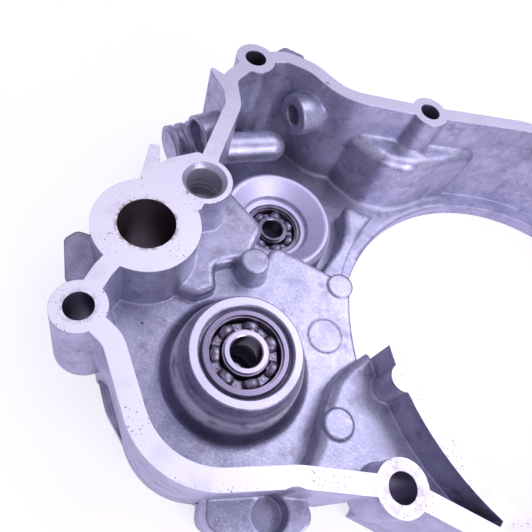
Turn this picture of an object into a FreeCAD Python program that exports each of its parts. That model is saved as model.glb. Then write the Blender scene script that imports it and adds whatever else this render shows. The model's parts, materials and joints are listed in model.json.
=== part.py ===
import FreeCAD, Part
import math
import os
import re

import Sketcher

# Clutch cover of a small two-stroke engine, lying on its outer face with the gasket side up.
# Millimetres. The origin is the centre of the clutch opening in the outer face; +Z points to the
# gasket face.

Vector = FreeCAD.Vector
UP = Vector(0, 0, 1)

# Driving dimensions: alias, value, what it sets
SIZES = [
    ("cover_depth", 45.0, "outer face to gasket face"),
    ("floor_thickness", 5.0, "cast floor of the deep bay"),
    ("flange_width", 4.8, "width of the gasket face between bosses"),
    ("housing_radius", 77.0, "outside of the clutch housing wall"),
    ("housing_wall", 4.5, "clutch housing wall"),
    ("hollow_radius", "=housing_radius - housing_wall", "inside of the clutch housing wall"),
    ("stub_gap", 0.8, "housing wall to wall stub, where they run side by side"),
    ("rim_radius", "=hollow_radius - stub_gap", "outside of the wall stub beside the opening"),
    ("stub_wall", 5.2, "wall stub"),
    ("opening_radius", "=rim_radius - stub_wall", "bored clutch opening"),
    ("stub_start_angle", 215.7, "free end of the wall stub, degrees"),
    ("stub_end_angle", 266.0, "where the stub joins the housing wall, degrees"),
    ("stub_boss_radius", 3.7, "half-round boss on the wall stub"),
    ("stub_boss_angle", 222.7, "place of that boss on the stub, degrees"),
    ("stub_boss_circle", "=rim_radius - 1.1", "its centre from the opening's"),
    ("bolt_hole_radius", 3.5, "clearance hole of a cover bolt"),
    ("bolt_boss_radius", 6.5, "boss round a cover bolt"),
    ("left_boss_foot_radius", 8.4, "left boss where it ends, wider by its draft"),
    ("bolt_channel_radius", 6.0, "room for a bolt head on the outer side"),
    ("bolt_left_x", -128.2, "left bolt"),
    ("bolt_left_y", -70.3, "left bolt"),
    ("bolt_lower_x", -45.4, "lower bolt"),
    ("bolt_lower_y", -72.5, "lower bolt"),
    ("bolt_corner_x", -130.0, "upper left bolt"),
    ("bolt_corner_y", 30.7, "upper left bolt"),
    ("bolt_upper_x", -69.7, "upper bolt"),
    ("bolt_upper_y", 48.2, "upper bolt"),
    ("bolt_circle_radius", "=housing_radius + 4", "bolts round the clutch housing"),
    ("left_seat_height", 18.0, "bolt head seat under the left bolt"),
    ("lower_seat_height", 27.0, "bolt head seat under the lower bolt"),
    ("upper_seat_height", 20.0, "bolt head seat under the upper bolt"),
    ("passage_x", -126.8, "coolant passage"),
    ("passage_y", -43.3, "coolant passage"),
    ("passage_radius", 7.35, "coolant passage bore"),
    ("passage_boss_radius", 13.8, "gasket land round the coolant passage"),
    ("seat_x", -120.9, "counterbored bolt seat"),
    ("seat_y", -22.9, "counterbored bolt seat"),
    ("seat_boss_radius", 7.7, "boss of the counterbored seat"),
    ("seat_mouth_radius", 6.3, "chamfered mouth of the seat"),
    ("seat_bore_radius", 5.0, "upper bore of the seat"),
    ("seat_bore_depth", 14.0, "depth of the upper bore"),
    ("seat_hole_radius", 3.4, "lower hole of the seat"),
    ("pump_x", -89.7, "coolant pump shaft"),
    ("pump_y", -59.5, "coolant pump shaft"),
    ("pump_face_drop", 3.5, "gasket face to the machined face of the pump bearing boss"),
    ("pump_boss_height", "=cover_depth - pump_face_drop", "machined face of the pump bearing boss"),
    ("pump_boss_radius", 14.4, "machined face of the pump bearing boss"),
    ("pump_skirt_radius", 16.8, "cast skirt of the pump bearing boss"),
    ("pump_bearing_recess", 0.9, "bearing face below the boss face"),
    ("pump_trench_width", 0.8, "turned trench round the bearing"),
    ("pump_trench_depth", 1.3, "that trench, below the bearing's face"),
    ("pump_mouth_ease", 0.4, "eased edge of the boss face"),
    ("pump_bearing_radius", 11.0, "outer ring"),
    ("pump_bearing_bore", 4.0, "inner ring bore"),
    ("pump_bearing_width", 7.0, "ring width"),
    ("pump_ball_radius", 1.984, "ball"),
    ("pump_ball_pitch", 7.5, "radius of the ball circle"),
    ("governor_x", -99.1, "governor shaft"),
    ("governor_y", -7.2, "governor shaft"),
    ("governor_bearing_height", 17.5, "upper face of the governor bearing"),
    ("governor_bearing_radius", 9.5, "outer ring"),
    ("governor_bearing_bore", 3.5, "inner ring bore"),
    ("governor_bearing_width", 6.0, "ring width"),
    ("governor_ball_radius", 1.786, "ball"),
    ("governor_ball_pitch", 6.5, "radius of the ball circle"),
    ("dish_rim_height", 24.0, "rim of the governor dish"),
    ("dish_rim_radius", 18.2, "rim of the governor dish"),
    ("dish_floor_radius", 11.6, "foot of the dish's slope"),
    ("ball_count", 7, "balls in each bearing"),
    ("land_share", 0.8, "groove shoulder below the ball's centre, as a share of its radius"),
    ("track_clearance", 0.06, "ball to ring"),
    ("cage_clearance", 0.05, "cage to ball"),
    ("cage_reach", 0.9, "half the width of the cage's ribbon"),
    ("ring_lip", 0.5, "ring face to its stepped shoulder, across"),
    ("ring_step", 0.8, "ring face to its stepped shoulder, in depth"),
    ("cage_thickness", 0.35, "pressed steel of the cage"),
    ("rivet_radius", 0.4, "cage rivet"),
    ("seat_shoulder", 2.0, "shoulder under the governor bearing"),
    ("chamber_radius", 20.0, "coolant pump chamber"),
    ("chamber_screw_circle", "=chamber_radius + 5", "screws round the pump chamber"),
    ("chamber_screw_angle", 48.4, "first screw of the pump chamber, degrees"),
    ("screw_hole_radius", 2.5, "tapped hole of a cover screw"),
    ("screw_hole_depth", 13.0, "tapped hole of a cover screw"),
    ("clutch_screw_circle", "=opening_radius + 8.5", "screws of the clutch access cover"),
    ("clutch_screw_angle", 195.9, "first screw of the clutch access cover, degrees"),
    ("screw_column_radius", 5.2, "column round a hidden clutch cover screw"),
    ("screw_column_height", 17.0, "column round a hidden clutch cover screw"),
    ("seal_radius", 8.5, "outside of the shaft seals"),
    ("seal_width", 6.0, "width of a shaft seal"),
    ("seal_gap", 0.5, "space between the two seals"),
    ("seal_room", 18.6, "bore of the seals, from the chamber to the bearing's lower face"),
    ("chamber_depth", "=pump_boss_height - pump_bearing_recess - pump_bearing_width - seal_room",
     "coolant pump chamber, from the outer face"),
    ("seal_steel", 0.8, "steel of a seal case"),
    ("seal_lip_radius", 3.9, "free lip"),
    ("seal_flange", 1.6, "inward flange of the case"),
    ("seal_spring_radius", 0.55, "wire bundle of the garter spring"),
    ("seal_lining", 0.4, "rubber inside a seal case"),
    ("seal_slack", 0.05, "room round a garter spring"),
    ("bay_floor_height", 25.5, "floor round the pump bearing"),
    ("land_height", 30.0, "raised land beside the counterbored seat"),
    ("plateau_height", 33.5, "raised floor by the wall stub"),
    ("shelf_height", 15.0, "low shelf beside the opening"),
    ("ledge_height", 31.0, "ledge under the upper bolt"),
    ("pad_radius", 4.0, "ejector pad"),
    ("pad_rise", 0.6, "ejector pad above its floor"),
    ("pad_boss_height", 33.5, "tall ejector pad"),
    ("date_pad_radius", 5.1, "shallow round pad, bare"),
    ("shaft_height", 31.0, "cross shaft above the outer face"),
    ("shaft_angle", 53.0, "direction of the cross shaft, degrees"),
    ("port_x", -133.9, "mouth of the cross shaft port"),
    ("port_y", 0.7, "mouth of the cross shaft port"),
    ("port_radius", 7.2, "port boss"),
    ("port_mouth_radius", 5.7, "seal seat in the port"),
    ("port_bore_radius", 4.2, "cross shaft bore"),
    ("port_mouth_depth", 4.0, "seal seat in the port"),
    ("spigot_radius", 6.2, "ribbed spigot beside the port"),
    ("spigot_rib", 1.1, "height of the spigot's ribs"),
    ("pivot_reach", 37.0, "port mouth to the face of the far shaft boss"),
    ("pivot_radius", 7.2, "far shaft boss"),
    ("pivot_bore_radius", 3.6, "far shaft bore"),
    ("pivot_bore_depth", 9.0, "far shaft bore"),
    ("fin_thickness", 2.6, "outside fins"),
]

doc = FreeCAD.newDocument("clutch_cover")
sheet = doc.addObject("Spreadsheet::Sheet", "Sizes")
for row, (alias, value, note) in enumerate(SIZES, 1):
    sheet.set("A%d" % row, note)
    sheet.set("B%d" % row, str(value))
    sheet.setAlias("B%d" % row, alias)
doc.recompute()

ALIASES = {alias for alias, value, note in SIZES}
WORD = re.compile(r"[a-z][a-z_]+")


def size(alias):
    """Value of one driving dimension."""
    return float(sheet.get(alias))


def formula(words):
    """Expression text in which each alias points at the sheet."""
    def pointed(found):
        word = found.group()
        return "Sizes." + word if word in ALIASES else word

    return WORD.sub(pointed, words)


def bind(item, **places):
    """Bind properties to sheet formulas; x, y and z stand for the placement's base."""
    for prop, words in places.items():
        path = ".Placement.Base." + prop if prop in ("x", "y", "z") else prop
        item.setExpression(path, formula(words))
    return item


def cylinder(name, x, y, bottom, radius, height):
    """Upright cylinder with its sizes and place bound to the sheet."""
    item = doc.addObject("Part::Cylinder", name)
    return bind(item, Radius=radius, Height=height, x=x, y=y, z=bottom)


def cone(name, x, y, bottom, low_radius, high_radius, height):
    """Upright cone frustum bound to the sheet."""
    item = doc.addObject("Part::Cone", name)
    return bind(item, Radius1=low_radius, Radius2=high_radius, Height=height, x=x, y=y, z=bottom)


def rounded_outline(corners):
    """Closed wire through corners (x, y, radius), each corner rounded as far as its two sides allow."""
    count = len(corners)
    points = [Vector(x, y, 0) for x, y, radius in corners]
    cuts = []
    for i in range(count):
        before = points[i - 1] - points[i]
        after = points[(i + 1) % count] - points[i]
        half = before.getAngle(after) / 2
        room = 0.48 * min(before.Length, after.Length)
        reach = min(corners[i][2] / math.tan(half), room)
        start = points[i] + before.normalize() * reach
        end = points[i] + after.normalize() * reach
        bisector = (before + after).normalize()
        radius = reach * math.tan(half)
        middle = points[i] + bisector * (radius / math.sin(half) - radius)
        cuts.append((start, middle, end))
    edges = []
    for i in range(count):
        start, middle, end = cuts[i]
        if start.distanceToPoint(end) > 1e-4:
            edges.append(Part.Arc(start, middle, end).toShape())
        following = cuts[(i + 1) % count][0]
        if end.distanceToPoint(following) > 1e-4:
            edges.append(Part.LineSegment(end, following).toShape())
    return Part.Wire(edges)


def face_item(name, shape):
    """Flat face that an extrusion or a revolution takes up."""
    item = doc.addObject("Part::Feature", name)
    item.Shape = shape
    return item


def prism(name, face, bottom, top):
    """Upright prism over a face, between two bound heights."""
    base = face_item(name + "_face", face)
    item = doc.addObject("Part::Extrusion", name)
    item.Base = base
    item.DirMode = "Custom"
    item.Dir = UP
    item.Solid = True
    bind(item, LengthFwd="(%s) - (%s)" % (top, bottom), z=bottom)
    return item


def turned(name, x, y, profile):
    """Solid of revolution about an upright axis; the profile is a list of (radius, height)."""
    points = [Vector(radius, 0, height) for radius, height in profile]
    base = face_item(name + "_face", Part.Face(Part.makePolygon(points + points[:1])))
    item = doc.addObject("Part::Revolution", name)
    item.Source = base
    item.Axis = UP
    item.Base = Vector(0, 0, 0)
    item.Angle = 360
    item.Solid = True
    return bind(item, x=x, y=y)


def lying_cylinder(name, start, angle, radius, length):
    """Cylinder that lies level, from a start point in the direction of an angle in degrees."""
    item = doc.addObject("Part::Cylinder", name)
    level = FreeCAD.Rotation(Vector(0, 1, 0), 90)
    item.Placement = FreeCAD.Placement(start, FreeCAD.Rotation(UP, angle) * level)
    return bind(item, Radius=radius, Height=length)


def fuse(name, items):
    item = doc.addObject("Part::MultiFuse", name)
    item.Shapes = items
    return item


def common(name, items):
    item = doc.addObject("Part::MultiCommon", name)
    item.Shapes = items
    return item


def cut(name, base, tool):
    item = doc.addObject("Part::Cut", name)
    item.Base = base
    item.Tool = tool
    return item


def polar(radius, angle):
    """Point on a circle about the clutch opening."""
    return Vector(radius * math.cos(math.radians(angle)), radius * math.sin(math.radians(angle)), 0)


# Anchor points of the housing
LEFT = Vector(size("bolt_left_x"), size("bolt_left_y"), 0)
LOWER = Vector(size("bolt_lower_x"), size("bolt_lower_y"), 0)
CORNER = Vector(size("bolt_corner_x"), size("bolt_corner_y"), 0)
UPPER = Vector(size("bolt_upper_x"), size("bolt_upper_y"), 0)
PASSAGE = Vector(size("passage_x"), size("passage_y"), 0)
SEAT = Vector(size("seat_x"), size("seat_y"), 0)
PUMP = Vector(size("pump_x"), size("pump_y"), 0)
GOVERNOR = Vector(size("governor_x"), size("governor_y"), 0)
HOLLOW = size("hollow_radius")
HOUSING = size("housing_radius")


def near(anchor, dx, dy, radius):
    """Outline corner at an offset from an anchor point."""
    return (anchor.x + dx, anchor.y + dy, radius)


def around(radius, angle, rounding):
    """Outline corner on a circle about the clutch opening."""
    place = polar(radius, angle)
    return (place.x, place.y, rounding)


# Middle line of the gasket flange, clockwise from the foot of the clutch housing
pump_sweep = 28.9
flange_line = [
    (-7.0, -HOLLOW, 0.5),
    near(LOWER, 0, 0, 3),
    near(PUMP, 21.7, -21.2, 25),
    near(PUMP, -4.9, -35.4, pump_sweep),
    near(PUMP, -27.9, -13.8, 8),
    near(LEFT, 0, 0, 3),
    near(PASSAGE, -1.9, -16.6, 4),
    near(PASSAGE, 0, 0, 3),
    near(SEAT, 0, 0, 3),
    near(SEAT, -2.6, 9.0, 8),
    near(SEAT, -6.0, 30.5, 8),
    near(CORNER, -2.8, -14.1, 6),
    near(CORNER, 0, 0, 3),
    near(CORNER, 7.8, 7.9, 8),
    near(CORNER, 17.8, 9.2, 12),
    near(CORNER, 31.8, 4.7, 20),
    near(UPPER, 0, 0, 6),
    (-33.7, HOLLOW - 5.4, 20),
    (0.0, HOLLOW, 0.5),
]
flange_face = Part.Face(rounded_outline(flange_line))
half_flange = size("flange_width") / 2
outer_face = Part.Face(flange_face.makeOffset2D(half_flange).OuterWire)
inner_face = Part.Face(flange_face.makeOffset2D(-half_flange).OuterWire)

# Outer block of the casting, bosses and outside fins
outside = [
    prism("housing_block", outer_face, "0", "cover_depth"),
    cylinder("clutch_drum", "0", "0", "0", "housing_radius", "cover_depth"),
]
outside_shape = fuse("outside_block", outside)

bosses = [
    cone("left_boss", "bolt_left_x", "bolt_left_y", "left_seat_height", "left_boss_foot_radius",
         "bolt_boss_radius", "cover_depth - left_seat_height"),
    cylinder("lower_boss", "bolt_lower_x", "bolt_lower_y", "lower_seat_height", "bolt_boss_radius",
             "cover_depth - lower_seat_height"),
    cylinder("corner_boss", "bolt_corner_x", "bolt_corner_y", "0", "bolt_boss_radius", "cover_depth"),
    cylinder("upper_boss", "bolt_upper_x", "bolt_upper_y", "0", "bolt_boss_radius", "cover_depth"),
    cylinder("passage_boss", "passage_x", "passage_y", "0", "passage_boss_radius", "cover_depth"),
    cylinder("seat_boss", "seat_x", "seat_y", "0", "seat_boss_radius", "cover_depth"),
]
RING_BOLT_ANGLES = [-80, -35, 10, 55, 100]
WEB_FOOT = 9.0
WEB_TIP = 3.6
for number, angle in enumerate(RING_BOLT_ANGLES, 1):
    boss = cylinder("ring_boss_%d" % number, "bolt_circle_radius * cos(%d deg)" % angle,
                    "bolt_circle_radius * sin(%d deg)" % angle, "0", "bolt_boss_radius", "cover_depth")
    bosses.append(boss)
    web = rounded_outline([
        around(HOUSING - 2, angle - WEB_FOOT, 0.5),
        around(size("bolt_circle_radius") + 1, angle - WEB_TIP, 2),
        around(size("bolt_circle_radius") + 1, angle + WEB_TIP, 2),
        around(HOUSING - 2, angle + WEB_FOOT, 0.5),
    ])
    bosses.append(prism("ring_web_%d" % number, Part.Face(web), "0", "cover_depth"))

# Gasket land between the coolant passage and the counterbored seat
land_fill = rounded_outline([
    near(PASSAGE, -9.8, 9.5, 3),
    near(SEAT, -11.5, 1.0, 3),
    near(SEAT, -5.2, 8.6, 2),
    near(SEAT, 3.0, 0.0, 1),
    near(PASSAGE, 9.5, 10.5, 1),
])
bosses.append(prism("gasket_land", Part.Face(land_fill), "0", "cover_depth"))

# Fins and lugs on the outside of the left wall
fin = size("fin_thickness")
corner_fin = rounded_outline([
    near(CORNER, -11.6, -13.0, 0.8),
    near(CORNER, -4.5, -13.8, 2),
    near(CORNER, -1.5, -11.0, 0.5),
    near(CORNER, 1.0, -22.0, 0.5),
])
small_fin = rounded_outline([
    near(PASSAGE, -12.4, 22.6, 0.6),
    near(PASSAGE, -12.4 + fin, 23.6, 0.6),
    near(PASSAGE, -5.0, 15.5, 0.5),
    near(PASSAGE, -8.5, 11.0, 0.5),
])
left_lug = rounded_outline([
    near(PASSAGE, -11.4, -19.3, 1),
    near(PASSAGE, -18.4, -9.6, 2),
    near(PASSAGE, -17.0, -5.8, 2),
    near(PASSAGE, -4.0, -3.0, 1),
    near(PASSAGE, -3.0, -17.0, 1),
])
lower_lug = rounded_outline([
    near(PUMP, 7.7, -30.5, 2),
    near(PUMP, 10.7, -37.5, 4),
    near(PUMP, 31.0, -31.0, 4),
    near(PUMP, 34.2, -24.5, 3),
    near(PUMP, 29.7, -19.0, 1),
    near(PUMP, 12.0, -24.0, 1),
])
foot_rim = rounded_outline([
    near(PUMP, -34.5, -13.3, 3),
    near(PUMP, -26.5, -21.3, 12),
    near(PUMP, -14.5, -28.6, 14),
    near(PUMP, 0.0, -32.4, 14),
    near(PUMP, 14.0, -31.0, 3),
    near(PUMP, 12.0, -24.0, 1),
    near(PUMP, -27.0, -8.0, 1),
])
corner_lug = rounded_outline([
    near(CORNER, 3.0, 5.0, 1),
    near(CORNER, 5.6, 12.4, 1.5),
    near(CORNER, 13.0, 13.0, 1.5),
    near(CORNER, 14.0, 8.0, 1),
])
fins = [
    prism("corner_fin", Part.Face(corner_fin), "12", "cover_depth"),
    prism("small_fin", Part.Face(small_fin), "12", "cover_depth"),
    prism("left_lug", Part.Face(left_lug), "14", "34"),
    prism("lower_lug", Part.Face(lower_lug), "0", "23"),
    prism("foot_rim", Part.Face(foot_rim), "0", "7"),
    prism("corner_lug", Part.Face(corner_lug), "30", "44.5"),
]

# Port of the cross shaft, outside the left wall
shaft_angle = size("shaft_angle")
shaft_way = polar(1, shaft_angle)
port_mouth = Vector(size("port_x"), size("port_y"), size("shaft_height"))
spigot_start = port_mouth + Vector(-9.4, 0.2, -11.5)
port_items = [
    lying_cylinder("port_boss", port_mouth, shaft_angle, "port_radius", "11"),
    lying_cylinder("spigot_nose", spigot_start, shaft_angle, "spigot_radius", "18"),
]
RIB_STARTS = [0.6, 4.6, 8.6]
for number, start in enumerate(RIB_STARTS, 1):
    port_items.append(lying_cylinder("spigot_rib_%d" % number, spigot_start + shaft_way * start, shaft_angle,
                                     "spigot_radius + spigot_rib", "1.8"))


# Walls left when the bays are emptied
bays = fuse("bays", [
    prism("housing_bay", inner_face, "floor_thickness", "cover_depth + 1"),
    cylinder("clutch_bay", "0", "0", "floor_thickness", "hollow_radius", "cover_depth"),
])
walls = cut("walls", fuse("wall_block", [outside_shape] + fins + port_items), bays)

# Raised floors inside the bays, each a block trimmed by the outside and by the opening
bay_floor = rounded_outline([
    (-170.0, -120.0, 1),
    (0.0, -120.0, 1),
    (0.0, -40.0, 1),
    near(PUMP, 30.0, 41.3, 1),
    near(PUMP, 10.0, 41.6, 3),
    near(PUMP, -6.3, 41.6, 3.5),
    near(PUMP, -7.6, 30.0, 2),
    near(PUMP, -26.0, 30.0, 1),
    (-170.0, -40.0, 1),
])
raised_land = rounded_outline([
    near(PASSAGE, -4.0, -7.5, 1),
    near(PASSAGE, 18.5, -4.5, 3),
    near(PASSAGE, 22.5, 0.5, 2.5),
    near(PASSAGE, 18.6, 6.6, 2),
    near(PASSAGE, 24.0, 12.0, 2),
    near(PASSAGE, 29.0, 12.0, 2),
    near(PASSAGE, 26.0, 18.0, 3),
    near(PASSAGE, 25.6, 26.5, 4),
    near(SEAT, 12.0, 9.3, 2),
    near(SEAT, 4.5, 12.5, 2),
    near(SEAT, -12.0, 12.5, 1),
])
plateau = rounded_outline([
    (-58.0, -38.0, 1),
    (-63.2, -46.5, 4),
    (-65.2, -52.0, 5),
    (-65.0, -60.0, 8),
    (-63.6, -70.0, 6),
    (-64.6, -82.0, 4),
    (-64.0, -100.0, 1),
    (12.0, -100.0, 1),
    (12.0, -60.0, 1),
])
low_shelf = rounded_outline([
    near(GOVERNOR, 18.6, 26.7, 2),
    near(GOVERNOR, 22.5, 17.0, 8),
    near(GOVERNOR, 23.6, 9.0, 8),
    near(GOVERNOR, 21.0, -6.0, 4),
    near(GOVERNOR, 19.0, -12.0, 2),
    (-50.0, -20.0, 1),
    (-50.0, 21.7, 1),
])
upper_ledge = rounded_outline([
    near(UPPER, -26.0, -7.5, 3),
    near(UPPER, -18.0, -13.2, 9),
    near(UPPER, -5.5, -16.5, 10),
    near(UPPER, 4.5, -13.0, 9),
    near(UPPER, 14.5, -4.0, 9),
    near(UPPER, 26.0, 9.0, 4),
    near(UPPER, 22.0, 30.0, 1),
    near(UPPER, -26.0, 5.0, 1),
])


def raised_floor(name, outline, height, edge):
    """Upright block under a raised floor, its upper edge rounded as the casting's is."""
    block = prism(name, Part.Face(outline), "0", height)
    doc.recompute()
    top = size(height)
    upper = [number for number, line in enumerate(block.Shape.Edges, 1)
             if abs(line.BoundBox.ZMin - top) < 1e-6 and abs(line.BoundBox.ZMax - top) < 1e-6]
    item = doc.addObject("Part::Fillet", name + "_rounded")
    item.Base = block
    item.Edges = [(number, edge, edge) for number in upper]
    return item


floors = [
    raised_floor("bay_floor", bay_floor, "bay_floor_height", 1.4),
    raised_floor("raised_land", raised_land, "land_height", 2.0),
    raised_floor("plateau", plateau, "plateau_height", 2.6),
    raised_floor("low_shelf", low_shelf, "shelf_height", 1.2),
    raised_floor("upper_ledge", upper_ledge, "ledge_height", 4.2),
]
floor_block = common("floor_block", [fuse("raised_floors", floors), outside_shape])
bay_clear = cylinder("bay_clear", "0", "0", "floor_thickness", "rim_radius", "cover_depth")
trimmed_floors = cut("trimmed_floors", floor_block, bay_clear)


def sector(inner, outer, start, end):
    """Ring sector about the clutch opening."""
    mean = (start + end) / 2
    return Part.Face(Part.Wire([
        Part.Arc(polar(outer, start), polar(outer, mean), polar(outer, end)).toShape(),
        Part.LineSegment(polar(outer, end), polar(inner, end)).toShape(),
        Part.Arc(polar(inner, end), polar(inner, mean), polar(inner, start)).toShape(),
        Part.LineSegment(polar(inner, start), polar(outer, start)).toShape(),
    ]))


# Wall stub between the opening and the bay, with its half-round boss
stub_from = size("stub_start_angle")
stub_to = size("stub_end_angle")
inner_radius = size("opening_radius") - 1
rim_radius = size("rim_radius")
stub = prism("wall_stub", sector(inner_radius, rim_radius, stub_from, stub_to), "0", "cover_depth")
# The stub and the housing wall close into one where the bay between them narrows to nothing
stub_root = prism("stub_root", sector(inner_radius, HOUSING - 1, stub_to - 13, stub_to), "0", "cover_depth")
stub_boss = cylinder("stub_boss", "stub_boss_circle * cos(stub_boss_angle * 1 deg)",
                     "stub_boss_circle * sin(stub_boss_angle * 1 deg)", "0",
                     "stub_boss_radius", "cover_depth")

# Pump bearing boss: a skirt, a step and the machined face
floor_z = size("bay_floor_height")
pump_top = size("pump_boss_height")
pump_face = size("pump_boss_radius")
pump_skirt = size("pump_skirt_radius")
pump_boss = turned("pump_boss", "pump_x", "pump_y", [
    (0, 0),
    (pump_skirt + 4.2, 0),
    (pump_skirt + 4.2, floor_z),
    (pump_skirt + 2.4, floor_z + 0.5),
    (pump_skirt + 1.0, floor_z + 1.9),
    (pump_skirt, floor_z + 8.5),
    (pump_skirt - 0.7, floor_z + 9.9),
    (pump_face + 1.5, floor_z + 10.6),
    (pump_face + 0.5, floor_z + 11.6),
    (pump_face, pump_top - 0.4),
    (pump_face - 0.4, pump_top),
    (0, pump_top),
])

# Dish round the governor bearing
rim_z = size("dish_rim_height")
rim = size("dish_rim_radius")
bearing_z = size("governor_bearing_height")
dish_foot = size("dish_floor_radius")
dish = turned("governor_dish", "governor_x", "governor_y", [
    (0, 0),
    (rim + 2.4, 0),
    (rim + 1.6, size("floor_thickness") + 1.5),
    (rim + 0.5, rim_z - 1.6),
    (rim - 0.2, rim_z - 0.5),
    (rim - 1.2, rim_z),
    (rim - 2.0, rim_z - 0.2),
    (dish_foot, bearing_z + 2.2),
    (dish_foot - 0.5, bearing_z + 0.5),
    (0, bearing_z + 0.5),
])

# Ejector pads
pads = [
    cone("tall_pad", "pump_x - 8.8", "pump_y + 28.4", "0", "8.6", "pad_radius", "pad_boss_height"),
    cylinder("edge_pad", "pump_x + 17.6", "pump_y + 39", "0", "pad_radius", "bay_floor_height + pad_rise"),
    cylinder("plateau_pad", "pump_x + 29.2", "pump_y - 3", "0", "pad_radius", "plateau_height + pad_rise"),
    cylinder("date_pad", "pump_x + 19.1", "pump_y + 21.4", "0", "date_pad_radius", "bay_floor_height + 0.3"),
]

# Far boss of the cross shaft, and the rounded rib beside it
pivot_face = port_mouth + shaft_way * size("pivot_reach")
pivot_boss = lying_cylinder("pivot_boss", pivot_face, shaft_angle, "pivot_radius", "9")
rib_start = CORNER + Vector(1.0, -19.0, size("shaft_height") - 12.0)
rib_angle = 40.0
rib = lying_cylinder("shaft_rib", rib_start, rib_angle, "5.5", "19")
rib_end = doc.addObject("Part::Sphere", "shaft_rib_end")
rib_end.Placement.Base = rib_start + polar(19, rib_angle)
rib_end.Radius = 5.5
inner_forms = common("inner_forms", [fuse("shaft_forms", [pivot_boss, rib, rib_end]), outside_shape])

# Columns for the screws of the clutch access cover, where the wall alone is too thin for them
SCREW_COUNT = 6
CHAMBER_SCREWS = 5
HIDDEN_SCREWS = [1, 2, 3, 4]


def screw_place(step):
    """Formulas of one screw's place on the clutch cover's screw circle."""
    turn = "(clutch_screw_angle + %d) * 1 deg" % (step * 360 / SCREW_COUNT)
    return "clutch_screw_circle * cos(%s)" % turn, "clutch_screw_circle * sin(%s)" % turn


columns = []
for step in HIDDEN_SCREWS:
    x, y = screw_place(step)
    columns.append(cylinder("screw_column_%d" % step, x, y, "0",
                            "screw_column_radius", "screw_column_height"))

forms = [walls, trimmed_floors, stub, stub_root, stub_boss, pump_boss, dish, inner_forms]
metal = fuse("metal", forms + bosses + pads + columns)

# Bores, holes and pockets
through = "cover_depth + 2"
pump_seat_low = "pump_boss_height - pump_bearing_recess - pump_bearing_width"
PUMP_TRENCH = "pump_bearing_radius + pump_trench_width"
cuts = [
    cylinder("clutch_opening", "0", "0", "-1", "opening_radius", through),
    cylinder("left_hole", "bolt_left_x", "bolt_left_y", "-1", "bolt_hole_radius", through),
    cylinder("lower_hole", "bolt_lower_x", "bolt_lower_y", "-1", "bolt_hole_radius", through),
    cylinder("corner_hole", "bolt_corner_x", "bolt_corner_y", "-1", "bolt_hole_radius", through),
    cylinder("upper_hole", "bolt_upper_x", "bolt_upper_y", "-1", "bolt_hole_radius", through),
    cylinder("left_channel", "bolt_left_x", "bolt_left_y", "-1",
             "bolt_channel_radius", "left_seat_height + 1"),
    cylinder("lower_channel", "bolt_lower_x", "bolt_lower_y", "-1",
             "bolt_channel_radius", "lower_seat_height + 1"),
    cylinder("upper_channel", "bolt_upper_x", "bolt_upper_y", "-1",
             "bolt_channel_radius", "upper_seat_height + 1"),
    cylinder("passage_bore", "passage_x", "passage_y", "chamber_depth - 4", "passage_radius", "cover_depth"),
    cone("seat_mouth", "seat_x", "seat_y", "cover_depth - (seat_mouth_radius - seat_bore_radius)",
         "seat_bore_radius", "seat_mouth_radius", "seat_mouth_radius - seat_bore_radius"),
    cylinder("seat_bore", "seat_x", "seat_y", "cover_depth - seat_bore_depth",
             "seat_bore_radius", "seat_bore_depth"),
    cylinder("seat_step", "seat_x", "seat_y", "cover_depth - seat_bore_depth - 1.5",
             "(seat_bore_radius + seat_hole_radius) / 2", "seat_bore_depth"),
    cylinder("seat_hole", "seat_x", "seat_y", "-1", "seat_hole_radius", through),
    cylinder("pump_seat", "pump_x", "pump_y", pump_seat_low, "pump_bearing_radius", "cover_depth"),
    cylinder("pump_trench", "pump_x", "pump_y",
             "pump_boss_height - pump_bearing_recess - pump_trench_depth", PUMP_TRENCH, "cover_depth"),
    cone("pump_mouth", "pump_x", "pump_y", "pump_boss_height - pump_mouth_ease", PUMP_TRENCH,
         PUMP_TRENCH + " + pump_mouth_ease", "pump_mouth_ease"),
    cylinder("seal_bore", "pump_x", "pump_y", "chamber_depth", "seal_radius", "cover_depth"),
    cylinder("pump_chamber", "pump_x", "pump_y", "-1", "chamber_radius", "chamber_depth + 1"),
    cylinder("governor_seat", "governor_x", "governor_y", "governor_bearing_height - governor_bearing_width",
             "governor_bearing_radius", "cover_depth"),
    cylinder("governor_well", "governor_x", "governor_y", "floor_thickness",
             "governor_bearing_radius - seat_shoulder", "cover_depth"),
]
for number, angle in enumerate(RING_BOLT_ANGLES, 1):
    cuts.append(cylinder("ring_hole_%d" % number, "bolt_circle_radius * cos(%d deg)" % angle,
                         "bolt_circle_radius * sin(%d deg)" % angle, "-1", "bolt_hole_radius", through))
for step in range(SCREW_COUNT):
    x, y = screw_place(step)
    cuts.append(cylinder("clutch_screw_%d" % step, x, y, "-1", "screw_hole_radius", "screw_hole_depth + 1"))
for step in range(CHAMBER_SCREWS):
    turn = "(chamber_screw_angle + %d) * 1 deg" % (step * 360 / CHAMBER_SCREWS)
    cuts.append(cylinder("pump_screw_%d" % step, "pump_x + chamber_screw_circle * cos(%s)" % turn,
                         "pump_y + chamber_screw_circle * sin(%s)" % turn, "-1", "screw_hole_radius",
                         "screw_hole_depth + 1"))
cuts.append(cylinder("lug_pocket", "pump_x + 23.7", "pump_y - 27.5", "17", "4.6", "cover_depth"))

# Coolant duct on the outer side, from the pump chamber to the passage
duct = rounded_outline([
    near(PASSAGE, -6.5, -3.0, 3),
    near(PASSAGE, -3.0, 6.5, 3),
    near(PASSAGE, 8.0, 5.5, 3),
    near(PUMP, 2.0, 12.0, 3),
    near(PUMP, -12.0, -6.0, 3),
])
cuts.append(prism("coolant_duct", Part.Face(duct), "-1", "chamber_depth - 3"))

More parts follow.
